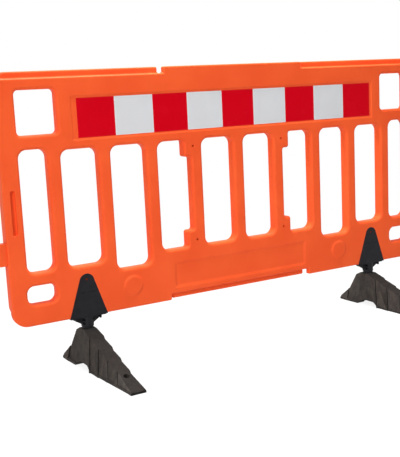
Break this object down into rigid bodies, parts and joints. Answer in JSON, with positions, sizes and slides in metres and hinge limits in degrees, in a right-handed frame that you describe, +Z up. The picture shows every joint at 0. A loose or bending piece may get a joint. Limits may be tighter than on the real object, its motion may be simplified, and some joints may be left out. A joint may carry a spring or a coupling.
{
  "type": "pedestrian barrier panel",
  "caption": "Free-standing road-works barrier: slotted hollow panel with a red and white strip, link hook and loop, on stepped feet that swivel.",
  "frame": {"origin": "on the ground, in the middle of the rectangle that the barrier covers", "axes": "+X along the panel to the right as seen from the front, front faces -Y, +Z up"},
  "size_m": [2.0546, 0.53, 1.073],
  "materials": {
    "orange_polyethylene": "satin moulded polyethylene",
    "red_sheeting": "glossy retroreflective film",
    "white_sheeting": "glossy retroreflective film",
    "black_polypropylene": "matt moulded polypropylene",
    "recycled_rubber": "rough recycled compound",
    "zinc_steel": "zinc plated"
  },
  "bodies": {
    "panel": {"panel": "orange_polyethylene", "front_red_blocks": "red_sheeting", "front_white_blocks": "white_sheeting", "back_red_blocks": "red_sheeting", "back_white_blocks": "white_sheeting", "left_bracket": "black_polypropylene", "right_bracket": "black_polypropylene", "left_pivot_bolt": "zinc_steel", "right_pivot_bolt": "zinc_steel", "left_pivot_nut": "zinc_steel", "right_pivot_nut": "zinc_steel", "left_foot_washer": "zinc_steel", "right_foot_washer": "zinc_steel"},
    "left_foot": {"left_foot": "recycled_rubber", "left_thrust_ring": "black_polypropylene"},
    "right_foot": {"right_foot": "recycled_rubber", "right_thrust_ring": "black_polypropylene"}
  },
  "joints": [
    {"name": "left_foot_swivel", "type": "hinge", "parent": "panel", "child": "left_foot", "pos_m": [-0.678, 0.145, 0.08], "axis": [0, 0, 1], "range_deg": [-90, 90]},
    {"name": "right_foot_swivel", "type": "hinge", "parent": "panel", "child": "right_foot", "pos_m": [0.678, 0.145, 0.08], "axis": [0, 0, 1], "range_deg": [-90, 90]}
  ]
}
